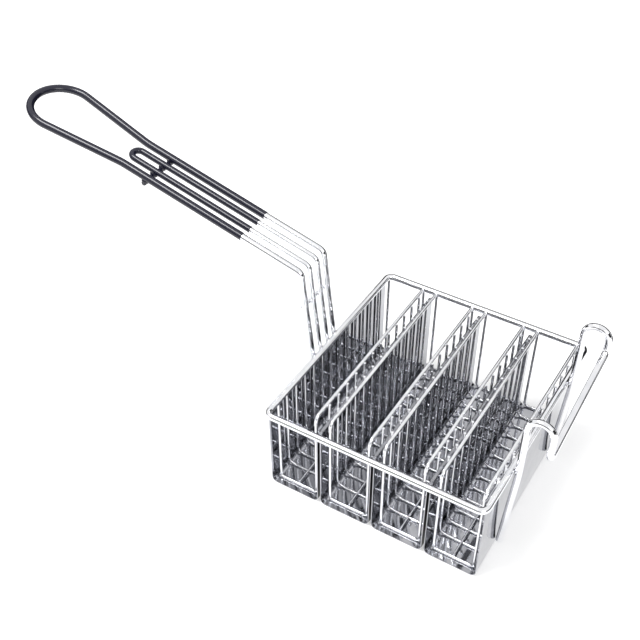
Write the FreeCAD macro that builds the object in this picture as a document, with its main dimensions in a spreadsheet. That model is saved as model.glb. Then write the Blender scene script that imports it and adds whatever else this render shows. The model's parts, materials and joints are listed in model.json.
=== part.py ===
import FreeCAD, Part
import os
import math
import Sketcher

# Deep fryer basket with four long slots.
#
# X runs from the handle (left, -X) to the hanger (right, +X), Y along the slots from
# front to back, Z up. The origin is on the resting surface, under the centre of the rim.
# Lengths are millimetres and angles are degrees.

os.makedirs("parts", exist_ok=True)

doc = FreeCAD.newDocument("fryer_basket")
sheet = doc.addObject("Spreadsheet::Sheet", "sizes")

# Driving dimensions: name, value, what it is
SIZES = [
    ("rod_dia", 6.35, "rim and grip rod"),
    ("rim_width", 209.0, "rim along X, rod centre to rod centre"),
    ("rim_length", 225.6, "rim along Y, rod centre to rod centre"),
    ("rim_height", 104.0, "height of the rim's centre line"),
    ("rim_bend", 6.5, "bend radius at the rim's corners"),
    ("left_overhang", 5.2, "first trough, out past the rim's left line"),
    ("right_inset", 2.2, "last trough, inside the rim's right line"),
    ("trough_gap", 3.2, "between neighbouring troughs"),
    ("wrap_gap", 0.65, "between a trough's wall and the ribs in it"),
    ("rail_dia", 3.4, "rail wire"),
    ("rail_bend", 6.0, "bend radius where a rail turns down"),
    ("rail_drop", 9.0, "from the rail's line down to the end of its turned-down tip"),
    ("front_setback", 19.1, "front frame, behind the front of the rim"),
    ("frame_dia", 2.8, "wire of the end frames"),
    ("frame_corner", 4.0, "bend of an end frame's foot"),
    ("rib_dia", 2.5, "rib wire"),
    ("rib_corner", 9.0, "bend of a rib's foot"),
    ("rib_tip", 1.4, "cut tip of a rib, above the rail's line"),
    ("rib_start", 18.3, "first rib, behind the front frame"),
    ("rib_end", 16.6, "last rib, ahead of the rear frame"),
    ("spine_dia", 2.2, "wire laid over the feet of the ribs"),
    ("weld_bite", 0.3, "how deep the spine is welded into the ribs"),
    ("weld_gap", 0.05, "clearance between wires that are welded side by side"),
    ("sheet_thick", 0.8, "trough sheet"),
    ("trough_drop", 10.0, "from the rim's line down to the liner's top"),
    ("trough_corner", 6.0, "outside radius of the folds at a trough's foot"),
    ("ridge_corner", 2.3, "outside radius of the folds between two troughs"),
    ("trough_front", 7.8, "liner, ahead of the front frame"),
    ("trough_back", 1.6, "liner, behind the rear frame"),
    ("handle_shift", -7.0, "middle of the handle along Y"),
    ("handle_foot", 2.6, "end of the handle's legs, below the rim's line"),
    ("handle_lean", 10.4, "how far the legs lean out on their way up"),
    ("handle_rise", 90.8, "from the rim's line up to the bend"),
    ("handle_bend", 12.0, "bend radius from leg to grip"),
    ("grip_angle", 14.6, "slope of the grip"),
    ("outer_spacing", 37.2, "between the outer loop's two rods"),
    ("grip_tie", 169.7, "upper tie, from the bend"),
    ("tip_margin", 29.9, "from the upper tie to the end of the inner loop"),
    ("flare_margin", 27.9, "from the upper tie to where the outer loop opens"),
    ("flare_reach", 85.0, "from where the outer loop opens to the middle of its round end"),
    ("loop_radius", 29.7, "round end of the outer loop"),
    ("flare_bend", 60.0, "bend radius where the outer loop opens"),
    ("inner_dia", 5.0, "inner loop's rod"),
    ("inner_spacing", 12.6, "between the inner loop's two rods"),
    ("coat_start", 62.9, "edge of the grip's coating, from the bend"),
    ("coat_thick", 0.55, "plastic coating"),
    ("tie_dia", 4.0, "cross ties of the handle"),
    ("grip_tie_length", 44.0, "upper tie, end to end"),
    ("leg_tie_length", 38.4, "lower tie, end to end"),
    ("leg_tie", 50.0, "lower tie, above the rim's line"),
    ("hook_dia", 6.35, "hanger rod"),
    ("hook_spacing", 121.0, "between the two hooks"),
    ("hook_foot", 8.0, "lower end of the hanger's legs"),
    ("front_hook_rise", 65.5, "from the rim's line up to the front hook's top"),
    ("back_hook_rise", 73.5, "from the rim's line up to the back hook's top"),
    ("hook_radius", 11.0, "bend radius of a hook's round top"),
    ("bar_front", 27.0, "hanger's cross bar, its front end above the rim's line"),
    ("bar_back", 50.0, "hanger's cross bar, its back end above the rim's line"),
    ("bar_bend", 8.0, "bend radius at the cross bar's ends"),
    ("leg_bend", 80.0, "bend radius where a hanger leg passes the rim"),
]
for row, (name, number, note) in enumerate(SIZES, start=1):
    sheet.set(f"A{row}", name)
    sheet.set(f"B{row}", str(number))
    sheet.set(f"C{row}", note)
    sheet.setAlias(f"B{row}", name)
doc.recompute()

SLOTS = 4
RIBS = 12


def size(name):
    """The value of one cell of the sheet."""
    return float(getattr(sheet, name))


def value_of(rule):
    """The number that an expression gives now."""
    return float(sheet.evalExpression(rule))


def vec(x, y, z):
    return FreeCAD.Vector(x, y, z)


# PartDesign helpers


def new_body(label):
    body = doc.addObject("PartDesign::Body", label)
    body.Label = label
    return body


def new_sketch(body, name, role, offset=None):
    """A sketch on one of the body's own planes, lifted off it by an expression."""
    sketch = body.newObject("Sketcher::SketchObject", name)
    plane = [item for item in body.Origin.OriginFeatures if item.Role == role][0]
    sketch.AttachmentSupport = [(plane, "")]
    sketch.MapMode = "FlatFace"
    if offset:
        sketch.setExpression("AttachmentOffset.Base.z", offset)
    return sketch


def pin(sketch, geometry, end, across, up):
    """Places one point of a sketch by two expressions, from the sketch's origin."""
    start = sketch.getPoint(geometry, end)
    for kind, here, rule in (("DistanceX", start.x, across), ("DistanceY", start.y, up)):
        index = sketch.addConstraint(Sketcher.Constraint(kind, -1, 1, geometry, end, here))
        sketch.setExpression(f"Constraints[{index}]", rule)


def draw_path(sketch, corners, closed=False):
    """Straight runs through the corners, each corner a pair of expressions."""
    count = len(corners) if closed else len(corners) - 1
    rough = [vec(value_of(across), value_of(up), 0) for across, up in corners]
    for step in range(count):
        sketch.addGeometry(Part.LineSegment(rough[step], rough[(step + 1) % len(corners)]))
    for step in range(count if closed else count - 1):
        sketch.addConstraint(Sketcher.Constraint("Coincident", step, 2, (step + 1) % count, 1))
    for step in range(count):
        pin(sketch, step, 1, *corners[step])
    if not closed:
        pin(sketch, count - 1, 2, *corners[-1])


def draw_circle(sketch, across, up, diameter):
    """A wire's round section."""
    sketch.addGeometry(Part.Circle(vec(1, 1, 0), vec(0, 0, 1), 1))
    pin(sketch, 0, 3, across, up)
    index = sketch.addConstraint(Sketcher.Constraint("Diameter", 0, 2))
    sketch.setExpression(f"Constraints[{index}]", diameter)


def pipe(body, name, path, profile):
    """Sweeps the section along the path."""
    sweep = body.newObject("PartDesign::AdditivePipe", name)
    sweep.Profile = profile
    sweep.Spine = path
    path.Visibility = False
    return sweep


def pad_through(body, name, sketch, first, last):
    """Pads a section drawn on XZ from one Y to another, both expressions.

    The plane's normal points to -Y, so its second side is the one that runs to +Y.
    """
    pad = body.newObject("PartDesign::Pad", name)
    pad.Profile = sketch
    pad.Type = "Length"
    pad.setExpression("Length", f"({last}) - ({first})")
    pad.Reversed = True
    sketch.setExpression("AttachmentOffset.Base.z", f"-({first})")
    return pad


# Rules shared by pieces that meet

FRONT = "-sizes.rim_length / 2 + sizes.front_setback"
BACK = "sizes.rim_length / 2"
RUNG = "sizes.sheet_thick + sizes.weld_gap + sizes.rib_dia / 2"
FRAME_RUNG = "sizes.sheet_thick + sizes.weld_gap + sizes.frame_dia / 2"
SLOTS_WIDE = "(sizes.rim_width + sizes.left_overhang - sizes.right_inset)"
PITCH = f"({SLOTS_WIDE} + sizes.trough_gap) / {SLOTS}"
MIDDLE = "-(sizes.left_overhang + sizes.right_inset) / 2"
TROUGH_X = f"(({PITCH}) - sizes.trough_gap) / 2"
RIB_X = f"({TROUGH_X} - sizes.sheet_thick - sizes.wrap_gap - sizes.rib_dia / 2)"
RAIL_X = f"({RIB_X} - (sizes.rail_dia + sizes.rib_dia) / 2 - sizes.weld_gap)"
RIB_PITCH = f"(sizes.rim_length - sizes.front_setback - sizes.rib_start - sizes.rib_end) / {RIBS - 1}"
RIB_TOP = "sizes.rim_height + sizes.rib_tip"
UNDER_RIM = "sizes.rim_height - sizes.rod_dia / 2 - sizes.weld_gap"
RAIL_END = "sizes.rim_length / 2 - sizes.rod_dia / 2 - sizes.weld_gap"


def slot_x(slot):
    """The middle of a slot, as an expression: slots are numbered from the handle."""
    return f"{MIDDLE} + {slot - (SLOTS + 1) / 2} * ({PITCH})"


def place_in_slot(body, slot):
    body.setExpression("Placement.Base.x", slot_x(slot))


def draw_u(sketch, half, left_top, right_top, corner, rung):
    """The line of a U of wire: two upright legs and a foot, joined by tangent bends."""
    wide, low, bend = value_of(half), value_of(rung), value_of(corner)
    left, right = value_of(left_top), value_of(right_top)
    turn = vec(0, 0, 1)
    sketch.addGeometry(Part.LineSegment(vec(-wide, left, 0), vec(-wide, low + bend, 0)))
    left_bend = Part.Circle(vec(bend - wide, low + bend, 0), turn, bend)
    sketch.addGeometry(Part.ArcOfCircle(left_bend, math.pi, 1.5 * math.pi))
    sketch.addGeometry(Part.LineSegment(vec(bend - wide, low, 0), vec(wide - bend, low, 0)))
    right_bend = Part.Circle(vec(wide - bend, low + bend, 0), turn, bend)
    sketch.addGeometry(Part.ArcOfCircle(right_bend, -0.5 * math.pi, 0))
    sketch.addGeometry(Part.LineSegment(vec(wide, low + bend, 0), vec(wide, right, 0)))
    for step in range(4):
        sketch.addConstraint(Sketcher.Constraint("Tangent", step, 2, step + 1, 1))
    sketch.addConstraint(Sketcher.Constraint("Vertical", 0))
    sketch.addConstraint(Sketcher.Constraint("Horizontal", 2))
    sketch.addConstraint(Sketcher.Constraint("Vertical", 4))
    sketch.addConstraint(Sketcher.Constraint("Equal", 1, 3))
    index = sketch.addConstraint(Sketcher.Constraint("Radius", 1, bend))
    sketch.setExpression(f"Constraints[{index}]", corner)
    index = sketch.addConstraint(Sketcher.Constraint("DistanceY", -1, 1, 2, 1, low))
    sketch.setExpression(f"Constraints[{index}]", rung)
    pin(sketch, 0, 1, f"-({half})", left_top)
    pin(sketch, 4, 2, half, right_top)


# The rim, one rod bent to a rectangle


def make_rim():
    body = new_body("top_rim")
    path = new_sketch(body, "rim_line", "XY_Plane", "sizes.rim_height")
    wide, long, bend = size("rim_width") / 2, size("rim_length") / 2, size("rim_bend")
    corners = [(1, 1), (-1, 1), (-1, -1), (1, -1)]
    for step, (sx, sy) in enumerate(corners):
        centre = vec(sx * (wide - bend), sy * (long - bend), 0)
        circle = Part.Circle(centre, vec(0, 0, 1), bend)
        path.addGeometry(Part.ArcOfCircle(circle, step * math.pi / 2, (step + 1) * math.pi / 2))
    for step in range(4):
        ahead = (step + 1) % 4
        path.addGeometry(Part.LineSegment(path.getPoint(step, 2), path.getPoint(ahead, 1)))
        path.addConstraint(Sketcher.Constraint("Tangent", step, 2, 4 + step, 1))
        path.addConstraint(Sketcher.Constraint("Tangent", 4 + step, 2, ahead, 1))
    for step in (4, 6):
        path.addConstraint(Sketcher.Constraint("Horizontal", step))
        path.addConstraint(Sketcher.Constraint("Vertical", step + 1))
    for step in range(3):
        path.addConstraint(Sketcher.Constraint("Equal", step, step + 1))
    index = path.addConstraint(Sketcher.Constraint("Radius", 0, bend))
    path.setExpression(f"Constraints[{index}]", "sizes.rim_bend")
    pin(path, 0, 3, "sizes.rim_width / 2 - sizes.rim_bend", "sizes.rim_length / 2 - sizes.rim_bend")
    pin(path, 2, 3, "sizes.rim_bend - sizes.rim_width / 2", "sizes.rim_bend - sizes.rim_length / 2")
    section = new_sketch(body, "rod_section", "YZ_Plane")
    draw_circle(section, "sizes.rim_length / 2", "sizes.rim_height", "sizes.rod_dia")
    sweep = body.newObject("PartDesign::AdditivePipe", "rim_rod")
    sweep.Profile = section
    sweep.Spine = path
    return body


# The rails of a slot, each turned down at the front


def make_rail(slot, label, side):
    body = new_body(f"slot_{slot}_{label}")
    path = new_sketch(body, "line", "YZ_Plane", f"{side} * {RAIL_X}")
    level, bend = size("rim_height"), size("rail_bend")
    front = size("front_setback") - size("rim_length") / 2
    back = size("rim_length") / 2
    path.addGeometry(Part.LineSegment(vec(back, level, 0), vec(front + bend, level, 0)))
    circle = Part.Circle(vec(front + bend, level - bend, 0), vec(0, 0, 1), bend)
    path.addGeometry(Part.ArcOfCircle(circle, math.pi / 2, math.pi))
    tip = level - size("rail_drop")
    path.addGeometry(Part.LineSegment(vec(front, level - bend, 0), vec(front, tip, 0)))
    path.addConstraint(Sketcher.Constraint("Tangent", 0, 2, 1, 1))
    path.addConstraint(Sketcher.Constraint("Tangent", 1, 2, 2, 1))
    path.addConstraint(Sketcher.Constraint("Horizontal", 0))
    path.addConstraint(Sketcher.Constraint("Vertical", 2))
    index = path.addConstraint(Sketcher.Constraint("Radius", 1, bend))
    path.setExpression(f"Constraints[{index}]", "sizes.rail_bend")
    pin(path, 0, 1, RAIL_END, "sizes.rim_height")
    pin(path, 2, 2, FRONT, "sizes.rim_height - sizes.rail_drop")
    section = new_sketch(body, "section", "XZ_Plane", f"-({RAIL_END})")
    draw_circle(section, f"{side} * {RAIL_X}", "sizes.rim_height", "sizes.rail_dia")
    pipe(body, "rail", path, section)
    place_in_slot(body, slot)
    return body


# The end frames, one U of wire at each end of a slot


def make_frame(slot, label, plane_y, left_top, right_top):
    body = new_body(f"slot_{slot}_{label}")
    path = new_sketch(body, "line", "XZ_Plane", f"-({plane_y})")
    draw_u(path, RAIL_X, left_top, right_top, "sizes.frame_corner", FRAME_RUNG)
    section = new_sketch(body, "section", "XY_Plane", left_top)
    draw_circle(section, f"-{RAIL_X}", plane_y, "sizes.frame_dia")
    pipe(body, "frame", path, section)
    place_in_slot(body, slot)
    return body


# The ribs: twelve U wires side by side and the spine welded across their feet


def make_ribs(slot):
    body = new_body(f"slot_{slot}_ribs")
    first = f"{FRONT} + sizes.rib_start"
    left_top = UNDER_RIM if slot == 1 else RIB_TOP
    path = new_sketch(body, "line", "XZ_Plane", f"-({first})")
    draw_u(path, RIB_X, left_top, RIB_TOP, "sizes.rib_corner", RUNG)
    section = new_sketch(body, "section", "XY_Plane", left_top)
    draw_circle(section, f"-({RIB_X})", first, "sizes.rib_dia")
    rib = pipe(body, "rib", path, section)
    row = body.newObject("PartDesign::LinearPattern", "rib_row")
    row.Originals = [rib]
    plane = [item for item in body.Origin.OriginFeatures if item.Role == "Y_Axis"][0]
    row.Direction = (plane, [""])
    row.Occurrences = RIBS
    row.setExpression("Length", f"{RIBS - 1} * {RIB_PITCH}")
    body.Tip = row
    spine = new_sketch(body, "spine_section", "XZ_Plane")
    lift = f"{RUNG} + (sizes.rib_dia + sizes.spine_dia) / 2 - sizes.weld_bite"
    draw_circle(spine, "0", lift, "sizes.spine_dia")
    reach = "sizes.frame_dia / 2 + sizes.weld_gap"
    pad_through(body, "spine", spine, f"{FRONT} + {reach}", f"{BACK} - {reach}")
    place_in_slot(body, slot)
    return body


# The liner, one sheet folded down, across and up through all the slots, open front and back


def fillet(body, base, name, spots, radius):
    """Rounds the edges along Y that pass these places in X and Z."""
    doc.recompute()
    found = []
    for number, edge in enumerate(base.Shape.Edges, start=1):
        middle = edge.CenterOfMass
        along_y = abs(edge.BoundBox.YLength - edge.Length) < 1e-6
        if along_y and any(abs(middle.x - x) < 1e-4 and abs(middle.z - z) < 1e-4 for x, z in spots):
            found.append(f"Edge{number}")
    folds = body.newObject("PartDesign::Fillet", name)
    folds.Base = (base, found)
    folds.setExpression("Radius", radius)
    return folds


def make_liner():
    body = new_body("slot_liner")
    section = new_sketch(body, "section", "XZ_Plane")
    top, skin = "sizes.rim_height - sizes.trough_drop", "sizes.sheet_thick"
    left = [f"{slot_x(slot)} - {TROUGH_X}" for slot in range(1, SLOTS + 1)]
    right = [f"{slot_x(slot)} + {TROUGH_X}" for slot in range(1, SLOTS + 1)]
    outside = []
    inside = []
    for slot in range(SLOTS):
        outside_top = top if slot == 0 else f"{top} - {skin}"
        outside += [(left[slot], outside_top), (left[slot], "0"), (right[slot], "0")]
        outside.append((right[slot], top if slot == SLOTS - 1 else f"{top} - {skin}"))
        inside += [(f"{left[slot]} + {skin}", top), (f"{left[slot]} + {skin}", skin)]
        inside += [(f"{right[slot]} - {skin}", skin), (f"{right[slot]} - {skin}", top)]
    draw_path(section, outside + inside[::-1], closed=True)
    sheet_pad = pad_through(body, "sheet", section, f"{FRONT} - sizes.trough_front", f"{BACK} + sizes.trough_back")
    points = {}
    for name, line in (("out", outside), ("in", inside)):
        points[name] = [(value_of(x), value_of(z)) for x, z in line]
    high = value_of(top) - size("sheet_thick") - 1e-4
    outer_feet = [spot for spot in points["out"] if spot[1] < high]
    inner_feet = [spot for spot in points["in"] if spot[1] < high]
    ridge_tops = [spot for spot in points["in"] if spot[1] > high][1:-1]
    ridge_undersides = [spot for spot in points["out"] if spot[1] > high][1:-1]
    under_fold = "sizes.ridge_corner - sizes.sheet_thick"
    feet = fillet(body, sheet_pad, "outer_feet", outer_feet, "sizes.trough_corner")
    feet = fillet(body, feet, "inner_feet", inner_feet, "sizes.trough_corner - sizes.sheet_thick")
    ridge = fillet(body, feet, "ridges", ridge_tops, "sizes.ridge_corner")
    ridge = fillet(body, ridge, "ridge_undersides", ridge_undersides, under_fold)
    body.Tip = ridge
    return body


# Bent rods: straight runs joined by tangent arcs, swept with a round section


def bent_line(corners, radii):
    """An open wire through the corners, each inner corner rounded to its radius."""
    edges = []
    here = corners[0]
    for index, radius in enumerate(radii, start=1):
        corner = corners[index]
        back = (corners[index - 1] - corner).normalize()
        ahead = (corners[index + 1] - corner).normalize()
        reach = radius / math.tan(back.getAngle(ahead) / 2)
        middle = (back + ahead).normalize()
        leave = corner + ahead * reach
        sag = radius / math.sin(back.getAngle(ahead) / 2) - radius
        enter = corner + back * reach
        if (enter - here).Length > 1e-6:
            edges.append(Part.LineSegment(here, enter).toShape())
        edges.append(Part.Arc(enter, corner + middle * sag, leave).toShape())
        here = leave
    edges.append(Part.LineSegment(here, corners[-1]).toShape())
    return Part.Wire(edges)


def rod(line, diameter):
    """A round rod along a wire of tangent edges."""
    start = line.Edges[0].valueAt(line.Edges[0].FirstParameter)
    heading = line.Edges[0].tangentAt(line.Edges[0].FirstParameter)
    section = Part.Wire([Part.Circle(start, heading, diameter / 2).toShape()])
    return line.makePipeShell([section], True, True)


def feature(label, shape):
    item = doc.addObject("Part::Feature", label)
    item.Label = label
    item.Shape = shape
    item.Placement = FreeCAD.Placement()
    return item


# The handle: its rods stand on the outside of the rim, lean out, and bend to the grip

RIM_LEFT = -size("rim_width") / 2
LEAN = math.atan2(size("handle_lean"), size("handle_rise"))
SLOPE = math.radians(size("grip_angle"))
UP_LEG = vec(-math.sin(LEAN), 0, math.cos(LEAN))
ALONG_GRIP = vec(-math.cos(SLOPE), 0, math.sin(SLOPE))
OFF_GRIP = vec(-math.sin(SLOPE), 0, -math.cos(SLOPE))
OFF_LEG = vec(-math.cos(LEAN), 0, -math.sin(LEAN))


def handle_line(diameter, half, tip_points, tip_radii, from_grip=None):
    """One handle rod's line, up one leg, round the tip and down the other leg.

    With from_grip the line begins and ends on the grip, that far from the bend.
    """
    touch = ((size("rod_dia") + diameter) / 2 + size("weld_gap")) / math.cos(LEAN)
    at_rim = vec(RIM_LEFT - touch, size("handle_shift"), size("rim_height"))
    corner = at_rim + UP_LEG * (size("handle_rise") / math.cos(LEAN))
    foot = at_rim - UP_LEG * (size("handle_foot") / math.cos(LEAN))
    side = vec(0, half, 0)
    grip = [corner + ALONG_GRIP * far + vec(0, aside, 0) for far, aside in tip_points]
    if from_grip is None:
        points = [foot - side, corner - side] + grip + [corner + side, foot + side]
        radii = [size("handle_bend")] + tip_radii + [size("handle_bend")]
        return bent_line(points, radii)
    start = corner + ALONG_GRIP * from_grip
    return bent_line([start - side] + grip + [start + side], tip_radii)


def outer_tip():
    """Corners of the outer loop's round end: two flares and a square about the circle."""
    half, radius = size("outer_spacing") / 2, size("loop_radius")
    start = size("grip_tie") + size("flare_margin")
    reach, spread = size("flare_reach"), -half
    centre = start + reach
    flare = math.atan2(spread, reach) + math.asin(radius / math.hypot(reach, spread))
    end = centre + radius
    wide = half + (end - start) * math.tan(flare)
    points = [(start, -half), (end, -wide), (end, wide), (start, half)]
    return points, [size("flare_bend"), radius, radius, size("flare_bend")]


def inner_tip():
    half = size("inner_spacing") / 2
    far = size("grip_tie") + size("tip_margin")
    return [(far, -half), (far, half)], [half * 0.999, half * 0.999]


def make_tie(where, across, thick, length):
    """A straight cross tie, laid against the outside of the handle's rods."""
    side = vec(0, length / 2, 0)
    middle = where + across * ((size("rod_dia") + size("tie_dia")) / 2 + size("weld_gap"))
    line = Part.Wire([Part.LineSegment(middle - side, middle + side).toShape()])
    return rod(line, thick)


def make_handle():
    outer_points, outer_radii = outer_tip()
    inner_points, inner_radii = inner_tip()
    outer_half, inner_half = size("outer_spacing") / 2, size("inner_spacing") / 2
    outer = rod(handle_line(size("rod_dia"), outer_half, outer_points, outer_radii), size("rod_dia"))
    inner = rod(handle_line(size("inner_dia"), inner_half, inner_points, inner_radii), size("inner_dia"))

    touch = (size("rod_dia") + size("weld_gap")) / math.cos(LEAN)
    at_rim = vec(RIM_LEFT - touch, size("handle_shift"), size("rim_height"))
    corner = at_rim + UP_LEG * (size("handle_rise") / math.cos(LEAN))
    on_leg = at_rim + UP_LEG * size("leg_tie")
    on_grip = corner + ALONG_GRIP * size("grip_tie")
    leg_tie = make_tie(on_leg, OFF_LEG, size("tie_dia"), size("leg_tie_length"))
    grip_tie = make_tie(on_grip, OFF_GRIP, size("tie_dia"), size("grip_tie_length"))

    skin = 2 * size("coat_thick")
    coat_from = size("coat_start")
    coat = rod(
        handle_line(size("rod_dia"), outer_half, outer_points, outer_radii, coat_from),
        size("rod_dia") + skin,
    )
    coat_inner = rod(
        handle_line(size("inner_dia"), inner_half, inner_points, inner_radii, coat_from),
        size("inner_dia") + skin,
    )
    coat_tie = make_tie(on_grip, OFF_GRIP, size("tie_dia") + skin, size("grip_tie_length") + skin)
    coating = coat.fuse([coat_inner, coat_tie]).cut([outer, inner, grip_tie]).removeSplitter()
    return [
        feature("handle_outer_loop", outer),
        feature("handle_inner_loop", inner),
        feature("handle_leg_tie", leg_tie),
        feature("handle_grip_tie", grip_tie),
        feature("grip_coating", coating),
    ]


# The hanger: one rod with a hook at each end and a cross bar between them


def make_hanger():
    rod_r, hook_r = size("rod_dia") / 2, size("hook_dia") / 2
    gap = size("weld_gap")
    rim_right = size("rim_width") / 2
    at_rim = rim_right + rod_r + hook_r + gap
    wall = rim_right - size("right_inset")
    at_foot = wall + hook_r + gap
    outside = at_rim + 2 * size("hook_radius")
    half = size("hook_spacing") / 2
    line = size("rim_height")
    foot, knee = size("hook_foot"), line - rod_r
    front_top, back_top = line + size("front_hook_rise"), line + size("back_hook_rise")
    corners = [
        vec(at_foot, -half, foot),
        vec(at_rim, -half, knee),
        vec(at_rim, -half, front_top),
        vec(outside, -half, front_top),
        vec(outside, -half, line + size("bar_front")),
        vec(outside, half, line + size("bar_back")),
        vec(outside, half, back_top),
        vec(at_rim, half, back_top),
        vec(at_rim, half, knee),
        vec(at_foot, half, foot),
    ]
    round_top = size("hook_radius") * 0.999
    radii = [size("leg_bend"), round_top, round_top, size("bar_bend")]
    return feature("hanger", rod(bent_line(corners, radii + radii[::-1]), size("hook_dia")))


pieces = [make_rim(), make_liner()]
for number in range(1, SLOTS + 1):
    if number > 1:
        pieces.append(make_rail(number, "left_rail", -1))
    pieces.append(make_rail(number, "right_rail", 1))
    rail_tip = "sizes.rim_height - sizes.rail_drop - sizes.weld_gap"
    left_top = UNDER_RIM if number == 1 else rail_tip
    pieces.append(make_frame(number, "front_frame", FRONT, left_top, rail_tip))
    pieces.append(make_frame(number, "rear_frame", BACK, UNDER_RIM, UNDER_RIM))
    pieces.append(make_ribs(number))
doc.recompute()
pieces += make_handle()
pieces.append(make_hanger())
doc.recompute()

for item in doc.Objects:
    if "Invalid" in item.State or "Error" in item.State:
        raise RuntimeError(f"{item.Label} failed to build: {item.State}")
for piece in pieces:
    if piece.Shape.isNull() or not piece.Shape.isValid() or not piece.Shape.Solids:
        raise RuntimeError(f"{piece.Label} has no valid solid")
for piece in pieces:
    piece.Shape.exportStep(f"parts/{piece.Label}.step")
    print(piece.Label, len(piece.Shape.Solids), round(piece.Shape.Volume, 1))
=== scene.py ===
import bpy
import json
import math
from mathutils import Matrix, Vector

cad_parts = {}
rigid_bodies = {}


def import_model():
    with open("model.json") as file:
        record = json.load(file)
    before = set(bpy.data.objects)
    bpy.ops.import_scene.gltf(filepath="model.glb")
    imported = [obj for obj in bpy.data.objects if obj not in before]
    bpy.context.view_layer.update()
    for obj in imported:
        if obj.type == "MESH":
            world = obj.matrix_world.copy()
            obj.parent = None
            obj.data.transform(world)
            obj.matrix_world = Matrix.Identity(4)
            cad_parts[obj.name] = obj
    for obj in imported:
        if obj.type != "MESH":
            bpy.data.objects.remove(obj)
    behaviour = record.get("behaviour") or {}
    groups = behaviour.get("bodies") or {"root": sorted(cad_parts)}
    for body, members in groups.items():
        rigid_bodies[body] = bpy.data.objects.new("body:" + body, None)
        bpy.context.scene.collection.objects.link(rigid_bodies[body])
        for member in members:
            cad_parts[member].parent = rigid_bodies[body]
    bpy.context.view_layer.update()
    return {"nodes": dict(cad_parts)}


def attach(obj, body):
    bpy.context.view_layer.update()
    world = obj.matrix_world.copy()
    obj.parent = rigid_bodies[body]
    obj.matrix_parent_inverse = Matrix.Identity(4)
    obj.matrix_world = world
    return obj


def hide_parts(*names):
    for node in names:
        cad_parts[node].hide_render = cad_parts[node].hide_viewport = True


# %% [markdown]
# # Deep fryer basket
#
# Four long slots of bright wire, lined with one mirror-bright folded sheet, hang in one heavy rim.
# A rod handle with a black dipped grip rises on the left, and a bent-rod hanger stands on the right.
#
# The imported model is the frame. Each piece here takes the place of one of its nodes and keeps its
# size. What changes is the bends, which have more faces than the frame's, the handle's bends, which
# are tighter, and the ridges between the slots, which are a little narrower.

# %% Load the frame
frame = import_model()
for leftover in list(bpy.data.objects):
    if leftover.type in {"CAMERA", "LIGHT"} or leftover.name == "Cube":
        bpy.data.objects.remove(leftover)
print("nodes in the frame:", len(frame["nodes"]))

# %% [markdown]
# ## Where things are
#
# A welder starts from the rim and the pitch of the slots, because every wire is set out from them.
# These sizes are the frame's own, in millimetres, and the slots are numbered from the handle.

# %% Main sizes
ROD = 6.35
RIM_X, RIM_Y, RIM_Z = 209.0, 225.6, 104.0
SLOT_PITCH, SLOTS_MIDDLE = 53.8, -3.7
SLOTS = {number: SLOTS_MIDDLE + (number - 2.5) * SLOT_PITCH for number in range(1, 5)}
FRONT, BACK = -93.7, 112.8
WELD = 0.05
UNDER_RIM = RIM_Z - ROD / 2 - WELD
print("slot centres:", [round(x, 1) for x in SLOTS.values()])


def mm(x, y, z):
    """A point in millimetres as metres."""
    return Vector((x, y, z)) / 1000


# %% [markdown]
# ## Selecting
#
# An operator acts on all that is selected, and the frame's nodes are selected when they are loaded.
# So each step starts with nothing selected, in object mode.

# %% Selecting


def start_fresh():
    """Object mode with nothing selected."""
    if bpy.context.object and bpy.context.object.mode != "OBJECT":
        bpy.ops.object.mode_set(mode="OBJECT")
    bpy.ops.object.select_all(action="DESELECT")


def only(piece):
    start_fresh()
    piece.select_set(True)
    bpy.context.view_layer.objects.active = piece


def smooth(piece, degrees=35):
    only(piece)
    bpy.ops.object.shade_smooth_by_angle(angle=math.radians(degrees))


print("helpers to select and to shade smooth")

# %% [markdown]
# ## Bending a rod
#
# Nearly every piece of the basket is a round rod or wire with a few bends. A curve with a bevel would
# be quicker, but its bends pinch. So the rod is drawn the way a bender makes it: a circle across its
# line is extruded along each straight run and spun round each bend, and the ends are filled.

# %% Where the bends are


def bends(corners, radii):
    """For each inner corner: where its arc starts, its middle, its axis and its angle."""
    found = []
    for index, radius in enumerate(radii, start=1):
        corner = corners[index]
        into = (corner - corners[index - 1]).normalized()
        out = (corners[index + 1] - corner).normalized()
        angle = into.angle(out)
        axis = into.cross(out).normalized()
        start = corner - into * (radius * math.tan(angle / 2))
        found.append((start, start + axis.cross(into) * radius, axis, angle))
    return found


square_corner = [Vector((0, 0, 0)), Vector((1, 0, 0)), Vector((1, 1, 0))]
print("a square corner turns", round(math.degrees(bends(square_corner, [0.2])[0][3])), "degrees")

# %% Drawing along the bends


def draw_along(corners, radii, steps):
    """Extrudes what is selected in edit mode along straight runs and spins it round the bends."""
    here = corners[0]
    for start, middle, axis, angle in bends(corners, radii):
        if (start - here).length > 1e-6:
            bpy.ops.mesh.extrude_region_move(TRANSFORM_OT_translate={"value": start - here})
        count = max(2, math.ceil(steps * angle / (math.pi / 2)))
        bpy.ops.mesh.spin(steps=count, angle=-angle, center=middle, axis=axis)
        arm = start - middle
        here = middle + arm * math.cos(angle) + axis.cross(arm) * math.sin(angle)
    if (corners[-1] - here).length > 1e-6:
        bpy.ops.mesh.extrude_region_move(TRANSFORM_OT_translate={"value": corners[-1] - here})


print("a helper to extrude and spin along a line with bends")

# %% A rod


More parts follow.
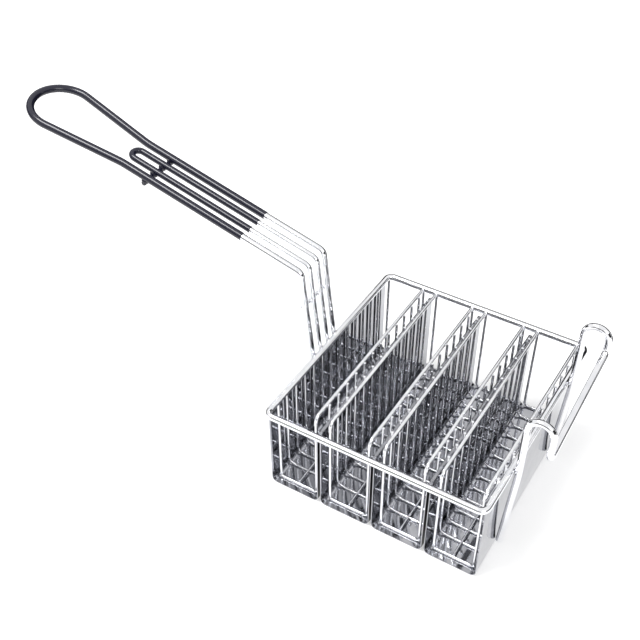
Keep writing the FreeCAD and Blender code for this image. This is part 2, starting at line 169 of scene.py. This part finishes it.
def rod(name, corners, radii, diameter, sides=16, steps=6, closed=False):
    """A round rod through the corners, in metres, with the inner corners rounded."""
    start_fresh()
    heading = (corners[1] - corners[0]).normalized()
    turn = heading.to_track_quat("Z", "Y").to_euler()
    bpy.ops.mesh.primitive_circle_add(
        vertices=sides,
        radius=diameter / 2,
        location=corners[0],
        rotation=turn,
    )
    piece = bpy.context.object
    piece.name = name
    bpy.ops.object.transform_apply(location=True, rotation=True, scale=True)
    bpy.ops.object.mode_set(mode="EDIT")
    bpy.ops.mesh.select_all(action="SELECT")
    draw_along(corners, radii, steps)
    if closed:
        bpy.ops.mesh.select_all(action="SELECT")
        bpy.ops.mesh.remove_doubles(threshold=1e-5)
    else:
        bpy.ops.mesh.edge_face_add()
        bpy.ops.mesh.select_all(action="DESELECT")
        bpy.ops.mesh.select_mode(type="EDGE")
        bpy.ops.mesh.select_non_manifold(
            use_wire=False,
            use_multi_face=False,
            use_non_contiguous=False,
            use_verts=False,
        )
        bpy.ops.mesh.edge_face_add()
        bpy.ops.mesh.select_mode(type="VERT")
    bpy.ops.mesh.select_all(action="SELECT")
    bpy.ops.mesh.normals_make_consistent(inside=False)
    bpy.ops.object.mode_set(mode="OBJECT")
    smooth(piece)
    return piece


THICK_SIDES = 24
print("a thick rod is drawn with", THICK_SIDES, "sides")

# %% [markdown]
# ## Cut ends and welds
#
# A cut end is tumbled or dipped, so its edge is round: the two end faces are the only ones with as
# many corners as the circle, and they are bevelled. A weld's bead is a squashed ball.

# %% Cut ends and welds


def soften_ends(piece, sides, radius):
    """Rounds the edges of a rod's two end faces, which are its only ones with this many corners."""
    only(piece)
    bpy.ops.object.mode_set(mode="EDIT")
    bpy.ops.mesh.select_mode(type="FACE")
    bpy.ops.mesh.select_all(action="DESELECT")
    bpy.ops.object.mode_set(mode="OBJECT")
    for face in piece.data.polygons:
        face.select = len(face.vertices) == sides
    bpy.ops.object.mode_set(mode="EDIT")
    bpy.ops.mesh.bevel(offset=radius / 1000, segments=3)
    bpy.ops.mesh.select_mode(type="VERT")
    bpy.ops.object.mode_set(mode="OBJECT")
    smooth(piece, 50)


def join(keep, *others):
    start_fresh()
    for other in others:
        other.select_set(True)
    keep.select_set(True)
    bpy.context.view_layer.objects.active = keep
    bpy.ops.object.join()
    return keep


def lump(place, width, depth, height):
    """A weld's bead: a ball one millimetre across, scaled to its size."""
    start_fresh()
    bpy.ops.mesh.primitive_uv_sphere_add(segments=12, ring_count=8, radius=0.0005, location=place)
    bead = bpy.context.object
    bead.scale = (width, depth, height)
    bpy.ops.object.transform_apply(location=True, rotation=True, scale=True)
    smooth(bead, 60)
    return bead


print("helpers for cut ends, joined pieces and beads")

# %% [markdown]
# ## Writing a material
#
# A material can be wired up node by node, but that hides what it says. Shader maths reads best as
# sums, so a socket is wrapped in a small class whose operators add Math nodes. A second class holds
# the nodes of one material, or of the world, and makes every other node.

# %% Sums of sockets


class Value:
    """A socket in an expression: the operators add Math nodes."""

    def __init__(self, shade, socket):
        self.shade = shade
        self.socket = socket

    def _math(self, operation, first, second):
        return self.shade.node("ShaderNodeMath", {"operation": operation}, [first, second])

    def __add__(self, other):
        return self._math("ADD", self, other)

    __radd__ = __add__

    def __mul__(self, other):
        return self._math("MULTIPLY", self, other)

    __rmul__ = __mul__

    def __sub__(self, other):
        return self._math("SUBTRACT", self, other)

    def __rsub__(self, other):
        return self._math("SUBTRACT", other, self)


print("a wrapped socket can be added, subtracted and multiplied")

# %% Material nodes


class Shade:
    """The nodes of one material, or of the world."""

    def __init__(self, owner, output="ShaderNodeOutputMaterial"):
        self.owner = owner
        owner.use_nodes = True
        self.tree = owner.node_tree
        self.tree.nodes.clear()
        self.output = self.tree.nodes.new(output)

    def node(self, kind, settings=None, values=(), output=0):
        """Adds a node: its settings first, then the values or links of its sockets."""
        made = self.tree.nodes.new(kind)
        for key, value in (settings or {}).items():
            setattr(made, key, value)
        pairs = values.items() if isinstance(values, dict) else enumerate(values)
        for key, value in pairs:
            if isinstance(value, Value):
                self.tree.links.new(value.socket, made.inputs[key])
            else:
                made.inputs[key].default_value = value
        return Value(self, made.outputs[output])

    def place(self, scale):
        where = self.node("ShaderNodeTexCoord", output="Object")
        return self.node("ShaderNodeMapping", values={"Vector": where, "Scale": scale})

    def along(self, axis):
        where = self.node("ShaderNodeTexCoord", output="Object")
        return self.node("ShaderNodeSeparateXYZ", values=[where], output=axis)

    def noise(self, scale, detail=2.0, stretch=(1, 1, 1)):
        values = {"Vector": self.place(stretch), "Scale": scale, "Detail": detail}
        return self.node("ShaderNodeTexNoise", values=values)

    def blend(self, factor, first, second):
        """Mixes two colours, which are sockets 6 and 7 of the Mix node."""
        values = {0: factor, 6: first, 7: second}
        return self.node("ShaderNodeMix", {"data_type": "RGBA"}, values, output=2)

    def spread(self, value, low, high, to_low=0.0, to_high=1.0):
        """Maps low to to_low and high to to_high, and holds what lies beyond."""
        values = {"Value": value, "From Min": low, "From Max": high, "To Min": to_low, "To Max": to_high}
        return self.node("ShaderNodeMapRange", values=values)

    def bump(self, height, strength, distance):
        values = {"Height": height, "Strength": strength, "Distance": distance}
        return self.node("ShaderNodeBump", values=values)

    def seen(self):
        """1 for what the camera or a reflection sees, and 0 for what only lights the basket."""
        camera_ray = self.node("ShaderNodeLightPath", output="Is Camera Ray")
        glossy_ray = self.node("ShaderNodeLightPath", output="Is Glossy Ray")
        return camera_ray + glossy_ray

    def surface(self, shader):
        self.tree.links.new(shader.socket, self.output.inputs["Surface"])
        return self.owner


print("a class for the nodes of one material")

# %% [markdown]
# ## Bright wire
#
# The wires are chrome over drawn steel. Chrome is a metal with almost no colour, and what it shows is
# its surroundings. A perfect mirror looks unreal and a flat grey looks like paint, so it gets a
# faint cloudiness in its tone and roughness, and fine grain from the drawing as bump.

# %% Bright wire


def chrome_wire():
    shade = Shade(bpy.data.materials.new("chrome_wire"))
    cloud = shade.spread(shade.noise(90.0, 3.0), 0.35, 0.7)
    fine = shade.noise(900.0, 2.0)
    colour = shade.blend(cloud, (0.90, 0.90, 0.92, 1), (0.80, 0.81, 0.84, 1))
    values = {
        "Base Color": colour,
        "Metallic": 1.0,
        "Roughness": 0.05 + 0.07 * cloud,
        "Normal": shade.bump(fine, 0.02, 0.0001),
    }
    return shade.surface(shade.node("ShaderNodeBsdfPrincipled", values=values))


print("the wire's finish is ready to be made")

# %% [markdown]
# ## Mirror-bright sheet
#
# The sheet is polished on both sides. It is greyer than chrome and never quite flat, so a slow ripple
# bends its reflections, and the roller leaves a grain along the slots. Two faces stand two
# millimetres apart under each ridge, and their colour there is painted shade: nearly black, with a
# rougher finish. They could have a material of their own, but they are the same sheet. Those places
# repeat with the slots, so the distance from a ridge is a Ping-Pong node on X.

# %% Mirror-bright sheet
SHEET, LINER_TOP, INNER_WALL = 0.8, 94.0, 25.8
# The painted shade in the gap under each ridge fades out over these distances, in millimetres, from the
# gap's faces and from the ridge's underside.
FADE_ASIDE, FADE_UP = (0.05, 0.2), 0.4
ridge_gap = SLOT_PITCH - 2 * INNER_WALL
print("the gap under a ridge is", round(ridge_gap, 2), "mm wide")


def trough_sheet():
    shade = Shade(bpy.data.materials.new("trough_sheet"))
    cloud = shade.spread(shade.noise(40.0, 3.0), 0.35, 0.7)
    drawn = shade.noise(500.0, 3.0, (1.0, 0.02, 1.0))
    ripple = shade.noise(22.0, 1.0)
    colour = shade.blend(cloud, (0.46, 0.465, 0.49, 1), (0.36, 0.365, 0.39, 1))
    from_ridge = shade.along("X") - (SLOTS[1] + SLOTS[2]) / 2000
    aside = shade.node("ShaderNodeMath", {"operation": "PINGPONG"}, [from_ridge, SLOT_PITCH / 2000])
    underside = LINER_TOP - SHEET
    under = shade.spread(shade.along("Z"), underside / 1000, (underside + FADE_UP) / 1000, 1.0, 0.0)
    near, far = [(ridge_gap / 2 + fade) / 1000 for fade in FADE_ASIDE]
    # Painted shade: this mask finds the two faces in the narrow gap under each ridge, where shade falls
    # between them.
    painted_gap_shade = shade.spread(aside, near, far, 1.0, 0.0) * under
    values = {
        # Painted shade: the gap's faces get a nearly black base colour.
        "Base Color": shade.blend(painted_gap_shade, colour, (0.02, 0.02, 0.022, 1)),
        "Metallic": 1.0,
        "Roughness": 0.02 + 0.03 * shade.spread(drawn, 0.4, 0.7) + 0.3 * painted_gap_shade,
        "Normal": shade.bump(ripple, 0.05, 0.0003),
    }
    return shade.surface(shade.node("ShaderNodeBsdfPrincipled", values=values))


# %% [markdown]
# ## Dipped plastic
#
# The grip is dipped in liquid plastic and cured, which leaves a thick, smooth, glossy black skin.
# Plain black would do from afar, but a slight unevenness in its gloss and a low soft bump are what
# tells it from paint.

# %% Dipped plastic


def grip_plastic():
    shade = Shade(bpy.data.materials.new("grip_plastic"))
    cloud = shade.noise(60.0, 3.0)
    skin = shade.noise(120.0, 1.0)
    colour = shade.blend(cloud, (0.007, 0.007, 0.018, 1), (0.012, 0.012, 0.026, 1))
    values = {
        "Base Color": colour,
        "Roughness": 0.15 + 0.06 * cloud,
        "Normal": shade.bump(skin, 0.02, 0.0001),
    }
    return shade.surface(shade.node("ShaderNodeBsdfPrincipled", values=values))


print("the coating's finish is ready to be made")

# %% The three finishes
MATERIALS = {
    "chrome_wire": chrome_wire(),
    "trough_sheet": trough_sheet(),
    "grip_plastic": grip_plastic(),
}
print("materials:", sorted(MATERIALS))


def stands_for(piece, node, slot):
    """Attaches a piece to the root, hides the frame's node that it stands for, and gives it its finish."""
    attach(piece, "root")
    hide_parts(node)
    piece.data.materials.clear()
    piece.data.materials.append(MATERIALS[slot])


# %% [markdown]
# ## Rim
#
# The heaviest rod carries everything else. It is bent to a rectangle with small corners and welded
# into a ring. Four straight rods would leave open corners, so it is drawn once round from the middle
# of the front, and its two ends are merged.

# %% Rim
RIM_BEND = 6.5
side_x, side_y = RIM_X / 2, RIM_Y / 2
rim_corners = [
    mm(0, -side_y, RIM_Z),
    mm(side_x, -side_y, RIM_Z),
    mm(side_x, side_y, RIM_Z),
    mm(-side_x, side_y, RIM_Z),
    mm(-side_x, -side_y, RIM_Z),
    mm(0, -side_y, RIM_Z),
]
rim = rod("rim", rim_corners, [RIM_BEND / 1000] * 4, ROD / 1000, THICK_SIDES, steps=10, closed=True)
stands_for(rim, "top_rim", "chrome_wire")
print("rim faces:", len(rim.data.polygons))

# %% [markdown]
# ## Rails
#
# Two rails run along each slot and carry the ribs. Each turns down at the front and is welded on top
# of the front frame's leg, with a bead there. A straight rod and a stub would show a seam at the
# turn, so each rail is one bent rod. Slot 1 has no left rail: its ribs end under the rim.

# %% Rails
RAIL, RAIL_X, RAIL_BEND, RAIL_DROP = 3.4, 19.6, 6.0, 9.0
BEAD = (4.2, 4.2, 3.4)
rail_end = RIM_Y / 2 - ROD / 2 - WELD
rail_tip = RIM_Z - RAIL_DROP
for number, x in SLOTS.items():
    for side, label in ((-1, "left"), (1, "right")):
        if number > 1 or side > 0:
            at = x + side * RAIL_X
            line = [mm(at, rail_end, RIM_Z), mm(at, FRONT, RIM_Z), mm(at, FRONT, rail_tip)]
            rail = rod(f"{label}_rail_{number}", line, [RAIL_BEND / 1000], RAIL / 1000, steps=8)
            bead = lump(mm(at, FRONT, rail_tip), *BEAD)
            stands_for(join(rail, bead), f"slot_{number}_{label}_rail", "chrome_wire")
print("rail tips are", rail_tip, "mm up")

# %% [markdown]
# ## End frames
#
# A U of thinner wire closes each end of a slot. The same function bends these and the ribs, because
# both are two legs and a foot with round corners, and only their sizes differ.

# %% End frames
FRAME, FRAME_CORNER = 2.8, 4.0


def u_wire(name, place, tops, foot, corner, diameter, sides, steps):
    """A U across the slot: place is its middle, its distance along the slot and its half width."""
    x, y, half = place
    left_top, right_top = tops
    corners = [
        mm(x - half, y, left_top),
        mm(x - half, y, foot),
        mm(x + half, y, foot),
        mm(x + half, y, right_top),
    ]
    return rod(name, corners, [corner / 1000] * 2, diameter / 1000, sides, steps)


frame_foot = SHEET + WELD + FRAME / 2
frame_top = rail_tip - WELD
for number, x in SLOTS.items():
    tops = (UNDER_RIM if number == 1 else frame_top, frame_top)
    place = (x, FRONT, RAIL_X)
    front = u_wire(f"front_frame_{number}", place, tops, frame_foot, FRAME_CORNER, FRAME, sides=16, steps=8)
    stands_for(front, f"slot_{number}_front_frame", "chrome_wire")
    tops = (UNDER_RIM, UNDER_RIM)
    place = (x, BACK, RAIL_X)
    rear = u_wire(f"rear_frame_{number}", place, tops, frame_foot, FRAME_CORNER, FRAME, sides=16, steps=8)
    stands_for(rear, f"slot_{number}_rear_frame", "chrome_wire")
print("faces in one end frame:", len(front.data.polygons))

# %% [markdown]
# ## Ribs
#
# Twelve U-shaped ribs stand in each slot, outside its rails, and a thin spine is welded over their
# feet. One rib is bent and then copied along the slot eleven times, all in one mesh. An array
# modifier would do the same, but a copy by hand shows each step.

# %% Ribs
RIB, RIB_CORNER, RIB_TIP = 2.5, 9.0, 1.4
RIB_PITCH, RIB_COUNT, RIB_FIRST = 15.6, 12, -75.4
SPINE, SPINE_DIP = 2.2, 0.3
rib_x = RAIL_X + (RAIL + RIB) / 2 + WELD
rib_foot = SHEET + WELD + RIB / 2
rib_top = RIM_Z + RIB_TIP
spine_lift = rib_foot + (RIB + SPINE) / 2 - SPINE_DIP
spine_gap = FRAME / 2 + WELD
for number, x in SLOTS.items():
    tops = (UNDER_RIM if number == 1 else rib_top, rib_top)
    place = (x, RIB_FIRST, rib_x)
    ribs = u_wire(f"ribs_{number}", place, tops, rib_foot, RIB_CORNER, RIB, sides=12, steps=5)
    only(ribs)
    bpy.ops.object.mode_set(mode="EDIT")
    bpy.ops.mesh.select_all(action="SELECT")
    for copy in range(RIB_COUNT - 1):
        bpy.ops.mesh.duplicate_move(TRANSFORM_OT_translate={"value": (0, RIB_PITCH / 1000, 0)})
    bpy.ops.object.mode_set(mode="OBJECT")
    line = [mm(x, FRONT + spine_gap, spine_lift), mm(x, BACK - spine_gap, spine_lift)]
    spine = rod("spine", line, [], SPINE / 1000, sides=12)
    stands_for(join(ribs, spine), f"slot_{number}_ribs", "chrome_wire")
print("faces in one slot's ribs:", len(ribs.data.polygons))

# %% [markdown]
# ## Liner
#
# One sheet is folded down, across and up through all four slots, and turns over a narrow ridge
# between two of them. It could be boxes with their tops open, but a press brake makes it as one
# line, so a single edge as long as the slots is drawn along the section, with the rod's own
# function, and the surface that it leaves is given the sheet's thickness. The ridges are a
# millimetre narrower than the frame's, as the photo shows them.

# %% Section of the liner
OUTER_WALL, FOOT_FOLD, RIDGE_FOLD = 25.3, 6.0, 1.85
LINER_FRONT, LINER_BACK = -101.5, 114.4
skin_middle = SHEET / 2
corners = []
radii = []
for number, x in SLOTS.items():
    left_wall = x - (OUTER_WALL if number == 1 else INNER_WALL) + skin_middle
    right_wall = x + (OUTER_WALL if number == 4 else INNER_WALL) - skin_middle
    left_top = LINER_TOP if number == 1 else LINER_TOP - skin_middle
    right_top = LINER_TOP if number == 4 else LINER_TOP - skin_middle
    corners += [mm(left_wall, LINER_FRONT, left_top), mm(left_wall, LINER_FRONT, skin_middle)]
    corners += [mm(right_wall, LINER_FRONT, skin_middle), mm(right_wall, LINER_FRONT, right_top)]
    ridge = (RIDGE_FOLD - skin_middle) / 1000
    foot = (FOOT_FOLD - skin_middle) / 1000
    radii += [ridge, foot, foot, ridge]
radii = radii[1:-1]
print("folds in the liner:", len(radii))

# %% Edge that draws the liner
long = LINER_BACK - LINER_FRONT
strip = 1.0
start_fresh()
bpy.ops.mesh.primitive_plane_add(size=1, location=(0, 0, 0))
liner = bpy.context.object
liner.name = "liner"
liner.scale = (strip / 1000, long / 1000, 1)
liner.location = corners[0] + mm(strip / 2, long / 2, 0)
bpy.ops.object.transform_apply(location=True, rotation=True, scale=True)
bpy.ops.object.mode_set(mode="EDIT")
bpy.ops.mesh.select_mode(type="VERT")
bpy.ops.mesh.select_all(action="DESELECT")
bpy.ops.object.mode_set(mode="OBJECT")
for corner in liner.data.vertices:
    corner.select = corner.co.x > corners[0].x + strip / 2000
bpy.ops.object.mode_set(mode="EDIT")
bpy.ops.mesh.delete(type="VERT")
bpy.ops.mesh.select_all(action="SELECT")
print("the edge is", round(long, 1), "mm long")

# %% Liner
draw_along(corners, radii, 6)
bpy.ops.mesh.select_all(action="SELECT")
bpy.ops.mesh.remove_doubles(threshold=1e-6)
bpy.ops.mesh.normals_make_consistent(inside=False)
bpy.ops.object.mode_set(mode="OBJECT")
skin = liner.modifiers.new("skin", "SOLIDIFY")
skin.thickness = SHEET / 1000
skin.offset = 0
bpy.ops.object.modifier_apply(modifier="skin")
bpy.ops.object.mode_set(mode="EDIT")
bpy.ops.mesh.select_all(action="SELECT")
bpy.ops.mesh.normals_make_consistent(inside=False)
bpy.ops.object.mode_set(mode="OBJECT")
smooth(liner, 30)
stands_for(liner, "slot_liner", "trough_sheet")
print("faces in the liner:", len(liner.data.polygons))

# %% [markdown]
# ## Handle
#
# Two rods, each bent double, stand against the outside of the rim, lean out on their way up and
# bend to the grip. The outer one flares and closes in a round end, and the inner one ends short of
# it. They could be drawn flat and then turned, but the legs and the grip lean differently. So the
# directions of the two are found first, and every place is a distance along one of them. The bends
# between them are tighter than the frame's, as the photo shows them.

# %% Directions of the handle
HANDLE_Y = -7.0
FOOT_DROP, LEAN_OUT, RISE, HANDLE_BEND = 2.6, 10.4, 90.8, 6.5
lean = math.atan2(LEAN_OUT, RISE)
slope = math.radians(14.6)
up_leg = Vector((-math.sin(lean), 0, math.cos(lean)))
along_grip = Vector((-math.cos(slope), 0, math.sin(slope)))
off_grip = Vector((-math.sin(slope), 0, -math.cos(slope)))
off_leg = Vector((-math.cos(lean), 0, -math.sin(lean)))
print("the legs lean", round(math.degrees(lean), 1), "degrees")

# %% A handle rod


def leg_line(diameter):
    """Where a rod of this size passes the rim's line, and its corner below the grip."""
    touch = ((ROD + diameter) / 2 + WELD) / math.cos(lean)
    at_rim = Vector((-RIM_X / 2 - touch, HANDLE_Y, RIM_Z))
    return at_rim, at_rim + up_leg * (RISE / math.cos(lean))


def handle_rod(name, thick, line_thick, half, tip, radii, start=None):
    """A whole handle rod, or with start only the part of it beyond there on the grip."""
    at_rim, corner = leg_line(line_thick)
    side = Vector((0, half, 0))
    grip = [corner + along_grip * far + Vector((0, aside, 0)) for far, aside in tip]
    if start is None:
        foot = at_rim - up_leg * (FOOT_DROP / math.cos(lean))
        points = [foot - side, corner - side] + grip + [corner + side, foot + side]
        radii = [HANDLE_BEND] + radii + [HANDLE_BEND]
    else:
        begin = corner + along_grip * start
        points = [begin - side] + grip + [begin + side]
    points = [point / 1000 for point in points]
    return rod(name, points, [radius / 1000 for radius in radii], thick / 1000, THICK_SIDES, 12)


print("the handle bends", round(leg_line(ROD)[1].z, 1), "mm up")

# %% Outer and inner rod
OUTER_HALF, FLARE_START, FLARE_BEND = 18.6, 197.6, 60.0
LOOP_CENTRE, LOOP_RADIUS = 282.6, 29.7
INNER, INNER_HALF, INNER_TIP = 5.0, 6.3, 199.6
# Two bends that make a half circle stay a hair apart.
NEARLY = 0.999
reach = LOOP_CENTRE - FLARE_START
flare = math.atan2(-OUTER_HALF, reach) + math.asin(LOOP_RADIUS / math.hypot(reach, OUTER_HALF))
end = LOOP_CENTRE + LOOP_RADIUS
wide = OUTER_HALF + (end - FLARE_START) * math.tan(flare)
outer_tip = [(FLARE_START, -OUTER_HALF), (end, -wide), (end, wide), (FLARE_START, OUTER_HALF)]
outer_radii = [FLARE_BEND, LOOP_RADIUS, LOOP_RADIUS, FLARE_BEND]
inner_tip = [(INNER_TIP, -INNER_HALF), (INNER_TIP, INNER_HALF)]
inner_radii = [INNER_HALF * NEARLY] * 2
outer = handle_rod("outer_loop", ROD, ROD, OUTER_HALF, outer_tip, outer_radii)
inner = handle_rod("inner_loop", INNER, INNER, INNER_HALF, inner_tip, inner_radii)
stands_for(outer, "handle_outer_loop", "chrome_wire")
stands_for(inner, "handle_inner_loop", "chrome_wire")
print("faces in the outer rod:", len(outer.data.polygons))

# %% [markdown]
# ## Ties
#
# Two short straight rods hold the handle's four strands at their distance, on the side away from
# the user: one low on the legs and one under the grip. A scaled cylinder would serve as well, but
# the rod helper puts them square across the strands by itself.

# %% Ties
TIE, TIE_SIDES, TIE_LENGTH, LEG_TIE_LENGTH = 4.0, 16, 44.0, 38.4
GRIP_TIE, LEG_TIE = 169.7, 50.0


def tie(name, place, across, thick, length):
    middle = place + across * ((ROD + TIE) / 2 + WELD)
    side = Vector((0, length / 2, 0))
    return rod(name, [(middle - side) / 1000, (middle + side) / 1000], [], thick / 1000, TIE_SIDES)


outer_at_rim, outer_corner = leg_line(ROD)
on_leg = outer_at_rim + up_leg * LEG_TIE
on_grip = outer_corner + along_grip * GRIP_TIE
leg_tie = tie("leg_tie_rod", on_leg, off_leg, TIE, LEG_TIE_LENGTH)
grip_tie = tie("grip_tie_rod", on_grip, off_grip, TIE, TIE_LENGTH)
stands_for(leg_tie, "handle_leg_tie", "chrome_wire")
stands_for(grip_tie, "handle_grip_tie", "chrome_wire")
print("ties:", TIE_LENGTH, "and", LEG_TIE_LENGTH, "mm long")

# %% [markdown]
# ## Dipped coating
#
# The coating follows the rods and the upper tie with a wall of about half a millimetre. So each rod's
# part on the grip is drawn again, a little thicker, and its edges are rounded, because a dip ends
# in a soft lip. Swelling the rods' own meshes would coat their bare ends too. Where the tie crosses
# a rod the liquid plastic gathers, so a soft lump fills each of the four corners.

# %% Dipped coating
COAT_START, COAT, LIP, TIE_LIP = 62.9, 0.55, 0.4, 1.0
WEB_DROP, WEB = 3.4, (8.5, 8.5, 7.0)
thick = ROD + 2 * COAT
coat = handle_rod("coating", thick, ROD, OUTER_HALF, outer_tip, outer_radii, COAT_START)
thick = INNER + 2 * COAT
coat_inner = handle_rod("coating_inner", thick, INNER, INNER_HALF, inner_tip, inner_radii, COAT_START)
coat_tie = tie("coating_tie", on_grip, off_grip, TIE + 2 * COAT, TIE_LENGTH + 2 * COAT)
soften_ends(coat, THICK_SIDES, LIP)
soften_ends(coat_inner, THICK_SIDES, LIP)
soften_ends(coat_tie, TIE_SIDES, TIE_LIP)
webs = []
for aside in (-OUTER_HALF, -INNER_HALF, INNER_HALF, OUTER_HALF):
    crossing = on_grip + off_grip * WEB_DROP + Vector((0, aside, 0))
    webs.append(lump(crossing / 1000, *WEB))
stands_for(join(coat, coat_inner, coat_tie, *webs), "grip_coating", "grip_plastic")
print("faces in the coating:", len(coat.data.polygons))

# %% [markdown]
# ## Hanger
#
# One rod: it rises from the last wall of the liner, passes the rim, goes over the front hook and
# along the cross bar, and comes back the same way. A mirrored half would be quicker, but the front
# hook is lower than the back one, so it is drawn from its ten corners. Its two free ends are rounded.

# %% Hanger
HOOK_HALF, HOOK_RADIUS, HOOK_FOOT = 60.5, 11.0, 8.0
KNEE_BEND, BAR_BEND, FREE_END = 80.0, 8.0, 1.6
FRONT_TOP, BACK_TOP, BAR_FRONT, BAR_BACK = 169.5, 177.5, 131.0, 154.0
at_rim = RIM_X / 2 + ROD + WELD
at_foot = SLOTS[4] + OUTER_WALL + ROD / 2 + WELD
outside = at_rim + 2 * HOOK_RADIUS
knee = RIM_Z - ROD / 2
hanger_corners = [
    mm(at_foot, -HOOK_HALF, HOOK_FOOT),
    mm(at_rim, -HOOK_HALF, knee),
    mm(at_rim, -HOOK_HALF, FRONT_TOP),
    mm(outside, -HOOK_HALF, FRONT_TOP),
    mm(outside, -HOOK_HALF, BAR_FRONT),
    mm(outside, HOOK_HALF, BAR_BACK),
    mm(outside, HOOK_HALF, BACK_TOP),
    mm(at_rim, HOOK_HALF, BACK_TOP),
    mm(at_rim, HOOK_HALF, knee),
    mm(at_foot, HOOK_HALF, HOOK_FOOT),
]
over_hook = HOOK_RADIUS * NEARLY
half_way = [KNEE_BEND, over_hook, over_hook, BAR_BEND]
hanger_radii = [radius / 1000 for radius in half_way + half_way[::-1]]
hanger = rod("hanger_rod", hanger_corners, hanger_radii, ROD / 1000, THICK_SIDES, 12)
soften_ends(hanger, THICK_SIDES, FREE_END)
stands_for(hanger, "hanger", "chrome_wire")
print("hanger faces:", len(hanger.data.polygons))

# %% [markdown]
# ## Floor
#
# Bright metal shows its surroundings, so the stage is part of the finish. More light would whiten a
# floor too, but would also burn out the wires. So the floor has a glow of its own for the camera and
# for reflections, and still takes the basket's shadow.

# %% Floor
WHITE = (1, 1, 1, 1)
FLOOR_GLOW, FLOOR_WIDTH = 0.42, 40


def floor_material():
    shade = Shade(bpy.data.materials.new("floor"))
    cloud = shade.noise(3.0, 2.0)
    colour = shade.blend(cloud, (0.86, 0.86, 0.86, 1), (0.84, 0.84, 0.84, 1))
    diffuse = shade.node("ShaderNodeBsdfDiffuse", values={"Color": colour})
    strength = FLOOR_GLOW * shade.seen()
    glow = shade.node("ShaderNodeEmission", values={"Color": WHITE, "Strength": strength})
    return shade.surface(shade.node("ShaderNodeAddShader", values=[diffuse, glow]))


def board(name, place, rotation, width, height, material):
    start_fresh()
    bpy.ops.mesh.primitive_plane_add(size=1, location=place, rotation=rotation)
    made = bpy.context.object
    made.name = name
    made.scale = (width, height, 1)
    bpy.ops.object.transform_apply(location=True, rotation=True, scale=True)
    made.data.materials.append(material)
    return made


board("floor", (0, 0, -0.0002), (0, 0, 0), FLOOR_WIDTH, FLOOR_WIDTH, floor_material())
print("the floor is white to the camera")

# %% [markdown]
# ## Dark cards
#
# A photographer gives chrome its dark edges with black cards. Four stand round the basket, and one
# lies on the floor beyond it. A darker world would do the same but turn the background grey, so the
# cards are hidden from the camera, and neither cast a shadow nor light anything.

# %% Dark cards


def card_material():
    shade = Shade(bpy.data.materials.new("card"))
    cloud = shade.noise(2.0, 1.0)
    colour = shade.blend(cloud, (0.02, 0.02, 0.022, 1), (0.03, 0.03, 0.033, 1))
    return shade.surface(shade.node("ShaderNodeBsdfDiffuse", values={"Color": colour}))


dark = card_material()
upright = math.pi / 2
cards = [
    ("card_front", (0, -1.5, 0.42), (upright, 0, 0), 1.7, 0.62),
    ("card_right", (1.3, 0, 0.42), (upright, 0, upright), 1.7, 0.62),
    ("card_left", (-1.6, 0, 0.42), (upright, 0, upright), 1.7, 0.62),
    ("card_back", (0, 1.2, 0.5), (upright, 0, 0), 2.4, 1.0),
    ("card_beyond", (0.0, 0.72, -0.0001), (0, 0, 0), 2.4, 0.95),
]
for name, place, rotation, width, height in cards:
    card = board(name, place, rotation, width, height, dark)
    card.visible_camera = False
    card.visible_shadow = False
    card.visible_diffuse = False
print("cards:", len(cards))

# %% [markdown]
# ## Surround
#
# The world lights the basket softly at a little over half strength, and is plain white where the
# camera or a reflection sees it. A picture of a studio could be wrapped round it instead, but the
# photo's background is plain, and a Light Path node lets one world do both.

# %% Surround
LIGHTING, BACKDROP = 0.55, 1.0
world = bpy.data.worlds.new("surround")
bpy.context.scene.world = world
surround = Shade(world, "ShaderNodeOutputWorld")
lighting = surround.node("ShaderNodeBackground", values={"Color": WHITE, "Strength": LIGHTING})
backdrop = surround.node("ShaderNodeBackground", values={"Color": WHITE, "Strength": BACKDROP})
surround.surface(surround.node("ShaderNodeMixShader", values=[surround.seen(), lighting, backdrop]))
print("the world lights at", LIGHTING, "and is seen at", BACKDROP)

# %% [markdown]
# ## Lamps
#
# A broad soft lamp from above left gives the wires their long highlights, and a weaker one from the
# right opens the shadows. A small square lamp leaves a speckled highlight on the grip, so the key is
# long and narrow.

# %% Lamps


def soft_lamp(name, place, target, width, depth, power):
    data = bpy.data.lights.new(name, "AREA")
    data.shape = "RECTANGLE"
    data.size = width
    data.size_y = depth
    data.energy = power
    made = bpy.data.objects.new(name, data)
    made.location = place
    made.rotation_euler = (Vector(target) - Vector(place)).to_track_quat("-Z", "Y").to_euler()
    bpy.context.scene.collection.objects.link(made)


soft_lamp("key", (-0.65, -0.45, 1.8), (-0.2, 0, 0.05), 1.1, 0.5, 26)
soft_lamp("fill", (1.4, -0.9, 1.2), (0, 0, 0.05), 0.8, 0.8, 9)
print("lamps: key and fill")

# %% [markdown]
# ## Camera
#
# The camera was fitted to the rim's corners and the handle's bends in the photo, so it stands where
# the photographer stood.

# %% Camera
lens = bpy.data.cameras.new("camera")
lens.lens = 56.29
lens.sensor_width = 36.0
lens.shift_x = -0.0093
lens.shift_y = 0.0549
camera = bpy.data.objects.new("camera", lens)
camera.location = (0.25095, -0.59994, 0.74100)
camera.rotation_euler = (math.radians(90 - 43.29), 0, math.radians(31.12))
bpy.context.scene.collection.objects.link(camera)
bpy.context.scene.camera = camera
bpy.context.scene.view_settings.view_transform = "Standard"
print("the camera is", round(camera.location.z, 2), "m up")
